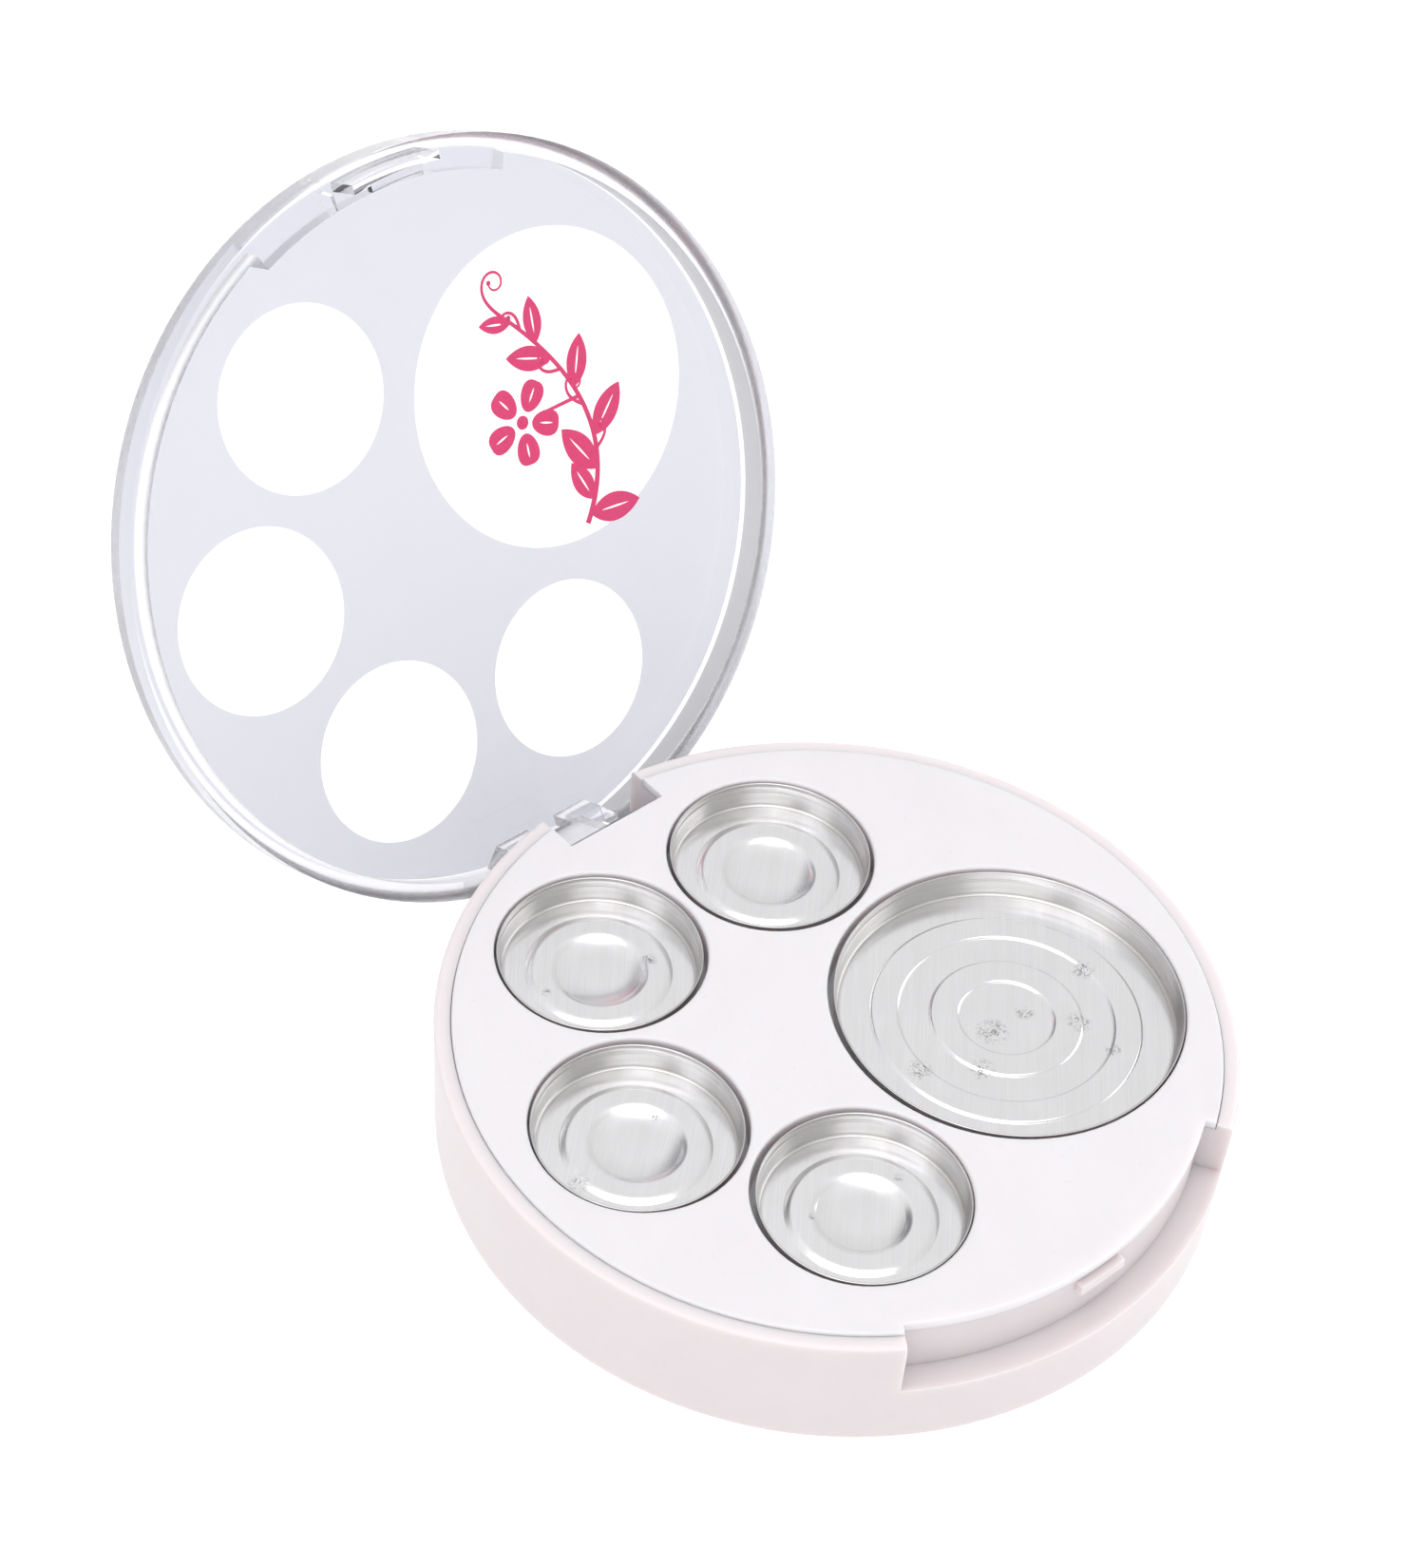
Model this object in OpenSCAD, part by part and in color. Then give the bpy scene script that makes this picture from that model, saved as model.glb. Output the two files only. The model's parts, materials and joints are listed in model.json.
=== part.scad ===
// Round five-pan refillable palette with a hinged, frosted lid.
// +Z is up. The origin is the centre of the base's underside.
// The hinge is at +Y and the thumb notch is at -Y. The lid is drawn open, on its stop.

/* [Base] */
// Outer diameter of the base
body_d = 100; // [96:1:104]
// Height of the base's outer ring above the table
ring_h = 17.9; // [17:0.1:19]
// How far the pan plate stands above the outer ring
plate_proud = 0.4; // [0.2:0.1:0.8]
// Width of the outer ring round the pan plate
ring_w = 2.05; // [1.8:0.05:2.5]
// Thickness of the base's floor
floor_t = 1.6; // [1.2:0.1:2.4]
// Draft of the outer wall, as the loss of radius at the bottom
wall_draft = 0.4; // [0:0.1:0.8]

/* [Pans] */
// Outer diameter of a small pan
small_pan_d = 26; // [25.8:0.1:26.1]
// Outer diameter of the large pan
large_pan_d = 44.2; // [44:0.1:44.4]
// Height of every pan
pan_h = 3.8; // [3.6:0.1:4]
// Sheet thickness of the pans
pan_t = 0.25; // [0.2:0.05:0.4]
// Gap between a pan and the edge of its hole
pan_gap = 0.45; // [0.45:0.05:0.6]
// Radius of the circle that the small pans stand on
small_ring_r = 28.2; // [28:0.1:28.5]
// Distance of the large pan from the centre of that circle
large_offset = 24.7; // [24.5:0.1:25]

/* [Lid] */
// Outer diameter of the lid
lid_d = 99.5; // [99:0.1:99.6]
// Height of the closed lid, from its rim to its top
lid_h = 6.1; // [5.8:0.1:6.5]
// Thickness of the lid's flat top
lid_t = 2; // [1.6:0.1:2.2]
// Width of the lid's rim
rim_w = 2.45; // [2.2:0.05:2.6]
// How far the lid opens, in degrees
open_angle = 116.4; // [90:0.1:117]

/* [Hinge] */
// Distance of the hinge axis behind the base's centre
hinge_y = 46.16; // [46.1:0.02:46.2]
// Height of the hinge axis above the table
hinge_z = 9.48; // [9.44:0.02:9.52]
// Width of the cut-out in the back of the base
slot_w = 15.2; // [14.8:0.1:15.6]
// Where the cut-out's inner wall stands
slot_y = 43.15; // [43:0.05:43.2]
// Diameter of the steel pins
pin_d = 1.5; // [1.2:0.1:1.8]
// Length of each steel pin
pin_l = 11; // [10:0.5:12]

/* [Thumb notch] */
// Half of the angle that the thumb notch spans
notch_half = 32.7; // [30:0.1:34]
// Height of the lower wall in front of the notch
notch_z = 9.7; // [9:0.1:11]

/* [Hidden] */

$fn = 96;
eps = 0.01;
body_r = body_d / 2;
seat_gap = 0.1;
edge_steps = 4;

// base
foot_round = 0.8;
ring_round = 0.7;
wall_t = 2;
seat_r = body_r - ring_w;
plate_r = seat_r - seat_gap;
plate_top = ring_h + plate_proud;
plate_t = 1.4;
plate_round = 0.35;
seat_z = plate_top - plate_t;
ledge_w = 1.5;
ledge_h = 1.3;
cup_t = 0.9;
cup_floor_t = 1;
pad_t = 0.2;
mouth_round = 0.4;
pan_sink = 0.15;
cup_z = plate_top - pan_sink - pan_h - pad_t;
post_r = 2;

// wells: their places on the plate
ring_centre = [-2, 2.3];
place_back_right = ring_centre + small_ring_r * [cos(60), sin(60)];
place_back_left = ring_centre + small_ring_r * [cos(120), sin(120)];
place_left = ring_centre - [small_ring_r, 0];
place_front_left = ring_centre + small_ring_r * [cos(240), sin(240)];
place_large = ring_centre + large_offset * [cos(-30), sin(-30)];
SMALL_PLACES = [place_back_right, place_back_left, place_left, place_front_left];

// how far each pan was stuck down away from the middle of its well
stray_back_right = [0, 0.08];
stray_back_left = [-0.2, 0];
stray_left = [-0.33, -0.14];
stray_front_left = [0.05, -0.35];
stray_large = [0.14, -0.24];

// pans
pan_lift = cup_z + pad_t;
pan_taper = 0.35;
pan_corner = 0.6;
pan_steps = 12;
small_rib_h = 0.5;
large_rib_h = 0.25;
// inner and outer radius of each pressed rib in a pan's floor
SMALL_RIBS = [[5.3, 9.4]];
LARGE_RIBS = [[5.9, 9.8], [13.5, 17.3]];
pad_margin = 1.2;

// thumb notch and its catch
notch_r = 46.2;
notch_wall_t = 1.6;
notch_plate_r = 46.5;
bump_l = 7;
bump_h = 1.4;
bump_out = 1;
bump_z = 15.3;

// lid, drawn closed first
rim_gap = 0.05;
rim_z = plate_top + rim_gap;
lid_top = rim_z + lid_h;
face_z = lid_top - lid_t;
lid_r = lid_d / 2;
rim_draft = 0.4;
rim_in_r = lid_r - rim_w;
lid_in_r = rim_in_r + rim_draft;
lid_round = 1.9;
sweep_r = 9;
sweep_w = 32;
jog_w = 14.8;
jog_y = 44.4;
jog_t = 2.4;
jog_slant = 2.2;
jog_lift = 0.6;
rim_end_x = 9.6;
dip_w = 4.6;
dip_d = 1.5;
arm_w = 8;
arm_y0 = 44.3;
arm_y1 = 47.7;
barrel_r = 2.9;
barrel_w = 14.6;
running_gap = 0.05;
bore_deep = 4.2;
slot_sill = 5.4;
guide_r = 45.2;
guide_from = 8.5;
guide_to = 23.5;
tab_w = 13;
tab_r = 47.7;
tab_out_r = 48.9;
tab_z = 13.2;
hook_w = 8;
hook_r = 46.8;
hook_h = 1;

// hinge housing in the base
housing_w = 27.2;
housing_wall = 1.6;
pin_x = 3.6;

// points of a quarter circle about [x, y], from angle a to angle b
function corner(x, y, r, a, b) =
    [for (i = [0 : edge_steps]) let (t = a + (b - a) * i / edge_steps) [x + r * cos(t), y + r * sin(t)]];

// a smooth rib: 0 at both of its edges, 1 half way between them
function rib(r, inner, outer) =
    r <= inner || r >= outer ? 0 : (1 - cos(360 * (r - inner) / (outer - inner))) / 2;

// height of a pan's floor at radius r, over all of its ribs
function floor_height(r, ribs, height, i = 0) =
    i >= len(ribs) ? 0 : height * pow(rib(r, ribs[i][0], ribs[i][1]), 0.5) + floor_height(r, ribs, height, i + 1);

// radii at which a pan's floor bends
function floor_radii(ribs) =
    concat([0], [for (span = ribs) for (i = [0 : pan_steps]) span[0] + (span[1] - span[0]) * i / pan_steps]);

// a wedge from the axis outwards, between two angles counted from -Y towards +X
module wedge(from, to, r, z0, z1) {
    translate([0, 0, z0])
        linear_extrude(z1 - z0)
            polygon([[0, 0], r * [sin(from), -cos(from)], r * [sin((from + to) / 2), -cos((from + to) / 2)],
                     r * [sin(to), -cos(to)]]);
}

// a ring segment between two radii and two angles, counted from -Y towards +X
module ring_segment(r0, r1, from, to, z0, z1) {
    intersection() {
        translate([0, 0, z0])
            linear_extrude(z1 - z0)
                difference() {
                    circle(r1, $fn = 180);
                    circle(r0, $fn = 180);
                }
        wedge(from, to, 2 * r1, z0 - 1, z1 + 1);
    }
}

// a cylinder along X, centred on the hinge axis
module along_hinge(r, x0, x1) {
    translate([x0, hinge_y, hinge_z])
        rotate([0, 90, 0])
            cylinder(r = r, h = x1 - x0);
}

module base_outline() {
    bottom_r = body_r - wall_draft;
    polygon(concat(
        [[0, 0]],
        corner(bottom_r - foot_round, foot_round, foot_round, -90, 0),
        corner(body_r - ring_round, ring_h - ring_round, ring_round, 0, 90),
        [[seat_r, ring_h], [seat_r, seat_z], [seat_r - ledge_w, seat_z],
         [seat_r - ledge_w, seat_z - ledge_h], [body_r - wall_t - wall_draft, seat_z - ledge_h - ledge_w],
         [body_r - wall_t - wall_draft, floor_t], [0, floor_t]]));
}

// the block that carries the pins, and the cup-shaped wall of the thumb notch
module base_inner_walls() {
    intersection() {
        union() {
            translate([-housing_w / 2, slot_y - housing_wall, floor_t - eps])
                cube([housing_w, body_r, seat_z - floor_t + eps]);
            ring_segment(notch_r - notch_wall_t, body_r, -notch_half, notch_half, floor_t - eps, seat_z);
            for (side = [-1, 1])
                ring_segment(notch_r - notch_wall_t, body_r, side * notch_half, side * (notch_half + 2),
                             floor_t - eps, seat_z);
        }
        cylinder(r = body_r - wall_draft - wall_t / 2, h = seat_z, $fn = 180);
    }
}

module base_shell() {
    color("#efe4e4")
    difference() {
        union() {
            rotate_extrude($fn = 180) base_outline();
            base_inner_walls();
            for (p = concat(SMALL_PLACES, [place_large]))
                translate([p[0], p[1], floor_t - eps])
                    cylinder(r = post_r, h = cup_z - cup_floor_t - floor_t + eps, $fn = 32);
            intersection() {
                translate([-bump_l / 2, -notch_r - bump_out, bump_z - bump_h / 2])
                    cube([bump_l, 2 * bump_out, bump_h]);
                translate([0, -notch_r, bump_z])
                    rotate([0, 90, 0])
                        cylinder(r = bump_out, h = bump_l + 1, center = true, $fn = 48);
            }
        }
        // thumb notch: the space outside the inner wall, above the lower wall
        difference() {
            wedge(-notch_half, notch_half, 2 * body_r, notch_z, plate_top + 1);
            cylinder(r = notch_r, h = plate_top + 2, $fn = 180);
            translate([-bump_l / 2, -notch_r - bump_out, bump_z - bump_h / 2])
                cube([bump_l, 2 * bump_out, bump_h]);
        }
        // hinge cut-out and the bores for the pins
        translate([-slot_w / 2, slot_y, slot_sill])
            cube([slot_w, body_r, ring_h]);
        for (side = [-1, 1])
            along_hinge(pin_d / 2, side < 0 ? -body_r : slot_w / 2 - 1, side < 0 ? 1 - slot_w / 2 : body_r);
    }
}

module plate_outline() {
    polygon(concat(
        [[0, seat_z], [plate_r, seat_z]],
        corner(plate_r - plate_round, plate_top - plate_round, plate_round, 0, 90),
        [[0, plate_top]]));
}

module cup_wall(p, pan_d) {
    translate([p[0], p[1], cup_z - cup_floor_t])
        cylinder(r = pan_d / 2 + pan_gap + cup_t, h = plate_top - plate_round - cup_z + cup_floor_t);
}

module cup_space(p, pan_d) {
    r = pan_d / 2 + pan_gap;
    edge = corner(r + mouth_round, plate_top - mouth_round, mouth_round, 180, 90);
    translate([p[0], p[1], 0])
        rotate_extrude()
            polygon(concat([[0, cup_z], [r, cup_z]], edge, [[r + mouth_round, plate_top + 1], [0, plate_top + 1]]));
}

module pan_plate() {
    color("#f3edef")
    difference() {
        union() {
            rotate_extrude($fn = 180) plate_outline();
            intersection() {
                union() {
                    for (p = SMALL_PLACES)
                        cup_wall(p, small_pan_d);
                    cup_wall(place_large, large_pan_d);
                }
                cylinder(r = seat_r - ledge_w - seat_gap, h = plate_top - plate_round);
            }
        }
        for (p = SMALL_PLACES)
            cup_space(p, small_pan_d);
        cup_space(place_large, large_pan_d);
        translate([-slot_w / 2, slot_y, 0])
            cube([slot_w, body_r, 2 * plate_top]);
        // the plate's edge steps in over the thumb notch
        ring_segment(notch_plate_r, body_r, -notch_half, notch_half, seat_z - 1, plate_top + 1);
    }
}

module hinge_pin(side) {
    color("silver")
    along_hinge(pin_d / 2, side < 0 ? -pin_x - pin_l : pin_x, side < 0 ? -pin_x : pin_x + pin_l);
}

module hinge_pin_left() {
    hinge_pin(-1);
}

module hinge_pin_right() {
    hinge_pin(1);
}

module lid_outline() {
    polygon(concat(
        [[0, face_z], [lid_in_r, face_z], [rim_in_r, rim_z], [lid_r, rim_z]],
        corner(lid_r - lid_round, lid_top - lid_round, lid_round, 0, 90),
        [[0, lid_top]]));
}

// the rim jogs inwards in front of the hinge: a straight wall with a dip, and slanted ends
module hinge_wall() {
    difference() {
        union() {
            translate([-jog_w / 2, jog_y, rim_z])
                cube([jog_w, jog_t, face_z - rim_z + eps]);
            for (side = [-1, 1])
                translate([0, 0, rim_z + jog_lift])
                    linear_extrude(face_z - rim_z - jog_lift + eps)
                        polygon([side * (jog_w / 2 - 0.5) * [1, 0] + [0, jog_y],
                                 side * jog_w / 2 * [1, 0] + [0, jog_y],
                                 side * (jog_w / 2 + jog_slant) * [1, 0] + [0, jog_y + jog_slant],
                                 side * (jog_w / 2 + jog_slant) * [1, 0] + [0, jog_y + jog_slant + 0.5],
                                 side * (jog_w / 2 - 0.5) * [1, 0] + [0, jog_y + jog_t]]);
        }
        translate([-dip_w / 2, jog_y - 1, face_z - lid_h])
            cube([dip_w, dip_d + 1, lid_h + 1]);
    }
}

module hinge_arm() {
    translate([-arm_w / 2, jog_y + dip_d, hinge_z])
        cube([arm_w, arm_y1 - jog_y - dip_d, face_z - hinge_z + eps]);
    translate([-arm_w / 2, arm_y0, hinge_z])
        cube([arm_w, arm_y1 - arm_y0, rim_z - hinge_z + eps]);
    along_hinge(barrel_r, -barrel_w / 2, barrel_w / 2);
}

// inner guides that fill the step in the pan plate, and the sprung tab with its hook
module lid_front() {
    for (side = [-1, 1])
        ring_segment(guide_r, lid_in_r + eps, side > 0 ? guide_from : -guide_to, side > 0 ? guide_to : -guide_from,
                     rim_z, face_z + eps);
    intersection() {
        union() {
            ring_segment(tab_r, tab_out_r, -guide_from, guide_from, tab_z, rim_z + eps);
            ring_segment(guide_r, lid_in_r + eps, -guide_from, guide_from, rim_z, face_z + eps);
        }
        translate([-tab_w / 2, -body_r, 0])
            cube([tab_w, body_r, lid_top]);
    }
    intersection() {
        ring_segment(hook_r, tab_r + eps, -guide_from, guide_from, tab_z, tab_z + hook_h);
        translate([-hook_w / 2, -body_r, 0])
            cube([hook_w, body_r, lid_top]);
    }
}

module lid_closed() {
    difference() {
        union() {
            difference() {
                rotate_extrude($fn = 180) lid_outline();
                translate([-rim_end_x, slot_y, rim_z - 1])
                    cube([2 * rim_end_x, body_r, face_z - rim_z + 1]);
                // relief that lets the rim swing past the base's back edge
                difference() {
                    along_hinge(sweep_r, -sweep_w / 2, sweep_w / 2);
                    translate([-jog_w / 2, 0, 0])
                        cube([jog_w, body_d, lid_top]);
                }
            }
            hinge_wall();
            hinge_arm();
            lid_front();
        }
        for (side = [-1, 1])
            along_hinge(pin_d / 2 + running_gap, side < 0 ? -barrel_w / 2 - 1 : barrel_w / 2 - bore_deep,
                        side < 0 ? bore_deep - barrel_w / 2 : barrel_w / 2 + 1);
    }
}

module lid() {
    color("#e2e2ec", 0.6)
    translate([0, hinge_y, hinge_z])
        rotate([-open_angle, 0, 0])
            translate([0, -hinge_y, -hinge_z])
                lid_closed();
}

// a pressed pan: a nearly straight wall, a rounded corner and a floor with ribs
module pan(p, pan_d, ribs, rib_h) {
    r_top = pan_d / 2;
    r_low = r_top - pan_taper;
    radii = floor_radii(ribs);
    last = len(radii) - 1;
    inside = [for (i = [0 : last]) [radii[i], pan_t + floor_height(radii[i], ribs, rib_h)]];
    below = [for (i = [last : -1 : 0]) [radii[i], floor_height(radii[i], ribs, rib_h)]];
    translate([p[0], p[1], pan_lift])
        rotate_extrude()
            polygon(concat(
                inside,
                corner(r_low - pan_corner, pan_corner, pan_corner - pan_t, -90, 0),
                [[r_top - pan_t, pan_h], [r_top, pan_h]],
                corner(r_low - pan_corner, pan_corner, pan_corner, 0, -90),
                below));
}

module pan_large() {
    color("gainsboro") pan(place_large + stray_large, large_pan_d, LARGE_RIBS, large_rib_h);
}

module pan_back_right() {
    color("gainsboro") pan(place_back_right + stray_back_right, small_pan_d, SMALL_RIBS, small_rib_h);
}

module pan_back_left() {
    color("gainsboro") pan(place_back_left + stray_back_left, small_pan_d, SMALL_RIBS, small_rib_h);
}

module pan_left() {
    color("gainsboro") pan(place_left + stray_left, small_pan_d, SMALL_RIBS, small_rib_h);
}

module pan_front_left() {
    color("gainsboro") pan(place_front_left + stray_front_left, small_pan_d, SMALL_RIBS, small_rib_h);
}

// a disc of adhesive between a pan and the floor of its cup
module pad(p, pan_d) {
    translate([p[0], p[1], cup_z])
        cylinder(r = pan_d / 2 - pan_taper - pan_corner - pad_margin, h = pad_t);
}

module pad_large() {
    color("white") pad(place_large + stray_large, large_pan_d);
}

module pad_back_right() {
    color("white") pad(place_back_right + stray_back_right, small_pan_d);
}

module pad_back_left() {
    color("white") pad(place_back_left + stray_back_left, small_pan_d);
}

module pad_left() {
    color("white") pad(place_left + stray_left, small_pan_d);
}

module pad_front_left() {
    color("white") pad(place_front_left + stray_front_left, small_pan_d);
}

base_shell();
pan_plate();
hinge_pin_left();
hinge_pin_right();
lid();
pan_large();
pan_back_right();
pan_back_left();
pan_left();
pan_front_left();
pad_large();
pad_back_right();
pad_back_left();
pad_left();
pad_front_left();
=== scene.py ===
"""The looks of a round refillable palette, built around its packed CAD frame.

Every length is in metres. +Z is up, the hinge is at +Y and the thumb notch is at -Y.
"""

import json
import math

import bmesh
import bpy
from mathutils import Matrix, Quaternion, Vector, geometry, noise


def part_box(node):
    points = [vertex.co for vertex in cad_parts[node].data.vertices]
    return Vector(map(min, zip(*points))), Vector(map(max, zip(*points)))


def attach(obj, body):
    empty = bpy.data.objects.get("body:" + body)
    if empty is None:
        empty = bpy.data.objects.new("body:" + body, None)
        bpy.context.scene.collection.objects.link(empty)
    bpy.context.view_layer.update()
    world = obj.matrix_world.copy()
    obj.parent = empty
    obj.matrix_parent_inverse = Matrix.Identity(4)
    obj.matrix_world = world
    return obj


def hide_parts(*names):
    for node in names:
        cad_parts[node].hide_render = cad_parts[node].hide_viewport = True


bl_info = {
    "name": "Round Pan Palette",
    "version": (1, 0, 0),
    "blender": (4, 5, 0),
    "location": "View3D > Sidebar > Palette",
    "description": "Builds a round refillable palette with metal pans and a frosted lid",
    "category": "Add Mesh",
}

MM = 0.001
MERGE_DISTANCE = 0.002 * MM
FLAT_ANGLE = math.radians(0.4)
SHARP_ANGLE = math.radians(28)

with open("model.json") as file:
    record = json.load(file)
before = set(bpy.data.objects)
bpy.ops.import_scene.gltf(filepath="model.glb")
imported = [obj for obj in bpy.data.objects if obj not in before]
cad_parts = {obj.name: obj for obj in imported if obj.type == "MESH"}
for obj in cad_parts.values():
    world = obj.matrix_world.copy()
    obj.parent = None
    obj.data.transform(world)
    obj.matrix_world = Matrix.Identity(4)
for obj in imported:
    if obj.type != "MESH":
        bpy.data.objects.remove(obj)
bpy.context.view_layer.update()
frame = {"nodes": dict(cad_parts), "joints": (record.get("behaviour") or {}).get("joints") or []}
NODES = frame["nodes"]
HINGE = next(joint for joint in frame["joints"] if joint["name"] == "lid_hinge")
HINGE_AT = Vector(HINGE["pos_m"])
OPEN_ANGLE = -math.radians(HINGE["range_deg"][0])

SMALL_PANS = ("back_right", "back_left", "left", "front_left")
PANS = ("large", *SMALL_PANS)


# ---------------------------------------------------------------- settings


class PaletteSizes(bpy.types.PropertyGroup):
    """Sizes of the finer shapes, which the CAD frame leaves open"""

    shell_edge: bpy.props.FloatProperty(
        name="Shell edge", description="Rounding of the base shell's moulded edges",
        default=0.14 * MM, min=0, unit="LENGTH", precision=5)
    plate_edge: bpy.props.FloatProperty(
        name="Plate edge", description="Rounding of the pan plate's moulded edges",
        default=0.12 * MM, min=0, unit="LENGTH", precision=5)
    lid_edge: bpy.props.FloatProperty(
        name="Lid edge", description="Rounding of the lid's moulded edges",
        default=0.12 * MM, min=0, unit="LENGTH", precision=5)
    small_window: bpy.props.FloatProperty(
        name="Small window", description="Radius of the clear windows over the small pans",
        default=12.08 * MM, min=0, unit="LENGTH", precision=5)
    large_window: bpy.props.FloatProperty(
        name="Large window", description="Radius of the clear window over the large pan",
        default=21.15 * MM, min=0, unit="LENGTH", precision=5)
    window_step: bpy.props.FloatProperty(
        name="Window step", description="How far a window is sunk below the frosted face",
        default=0.05 * MM, min=0, unit="LENGTH", precision=5)
    sheet: bpy.props.FloatProperty(
        name="Sheet", description="Thickness of the pans' sheet metal",
        default=0.25 * MM, min=0, unit="LENGTH", precision=5)
    small_rib: bpy.props.FloatProperty(
        name="Small rib", description="Height of the flat-topped rib pressed into a small pan's floor",
        default=0.34 * MM, min=0, unit="LENGTH", precision=5)
    small_rib_edge: bpy.props.FloatProperty(
        name="Small rib edge", description="Width of the rounded edges of a small pan's rib",
        default=1.15 * MM, min=0, unit="LENGTH", precision=5)
    large_rib: bpy.props.FloatProperty(
        name="Large rib", description="Height of the flat-topped ribs pressed into the large pan's floor",
        default=0.22 * MM, min=0, unit="LENGTH", precision=5)
    large_rib_edge: bpy.props.FloatProperty(
        name="Large rib edge", description="Width of the rounded edges of the large pan's ribs",
        default=0.45 * MM, min=0, unit="LENGTH", precision=5)
    wall_taper: bpy.props.FloatProperty(
        name="Wall taper", description="How much a pan's wall leans in from its rim to its foot",
        default=0.35 * MM, min=0, unit="LENGTH", precision=5)
    pan_corner: bpy.props.FloatProperty(
        name="Pan corner", description="Outer radius between a pan's wall and its floor",
        default=0.6 * MM, min=0, unit="LENGTH", precision=5)
    ink: bpy.props.FloatProperty(
        name="Ink", description="Thickness of the printed sprig",
        default=0.02 * MM, min=0, unit="LENGTH", precision=5)


class PaletteColours(bpy.types.PropertyGroup):
    """Colours of the palette's finishes"""

    shell: bpy.props.FloatVectorProperty(
        name="Shell", description="Plastic of the base shell",
        default=(0.69, 0.638, 0.652), min=0, max=1, subtype="COLOR")
    plate: bpy.props.FloatVectorProperty(
        name="Plate", description="Plastic of the pan plate",
        default=(0.80, 0.76, 0.785), min=0, max=1, subtype="COLOR")
    frosted: bpy.props.FloatVectorProperty(
        name="Frosted", description="Tint of the lid's frosted face",
        default=(0.55, 0.55, 0.64), min=0, max=1, subtype="COLOR")
    clear: bpy.props.FloatVectorProperty(
        name="Clear", description="Tint of the lid's polished faces",
        default=(0.93, 0.93, 0.965), min=0, max=1, subtype="COLOR")
    metal: bpy.props.FloatVectorProperty(
        name="Metal", description="Rolled aluminium of the pans",
        default=(0.93, 0.925, 0.94), min=0, max=1, subtype="COLOR")
    print_ink: bpy.props.FloatVectorProperty(
        name="Print", description="Ink of the sprig printed on the lid",
        default=(0.72, 0.035, 0.17), min=0, max=1, subtype="COLOR")


class PaletteStage(bpy.types.PropertyGroup):
    """Camera and studio"""

    azimuth: bpy.props.FloatProperty(
        name="Azimuth", description="Turn of the camera round the palette",
        default=math.radians(-44.29), unit="ROTATION")
    elevation: bpy.props.FloatProperty(
        name="Elevation", description="Angle of the camera above the table",
        default=math.radians(44.74), unit="ROTATION")
    roll: bpy.props.FloatProperty(
        name="Roll", description="Tilt of the camera about its own axis",
        default=math.radians(5.40), unit="ROTATION")
    distance: bpy.props.FloatProperty(
        name="Distance", description="Distance from the camera to the point it looks at",
        default=480 * MM, min=0, unit="LENGTH")
    aim: bpy.props.FloatVectorProperty(
        name="Aim", description="The point that the camera looks at",
        default=(11.12 * MM, 37.62 * MM, 22.78 * MM), unit="LENGTH", precision=5)
    lens: bpy.props.FloatProperty(
        name="Lens", description="Focal length of the camera, in millimetres",
        default=85.16, min=1)
    floor: bpy.props.FloatProperty(
        name="Floor", description="Width of the floor",
        default=6.0, min=0, unit="LENGTH")


# ---------------------------------------------------------------- shared helpers


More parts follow.
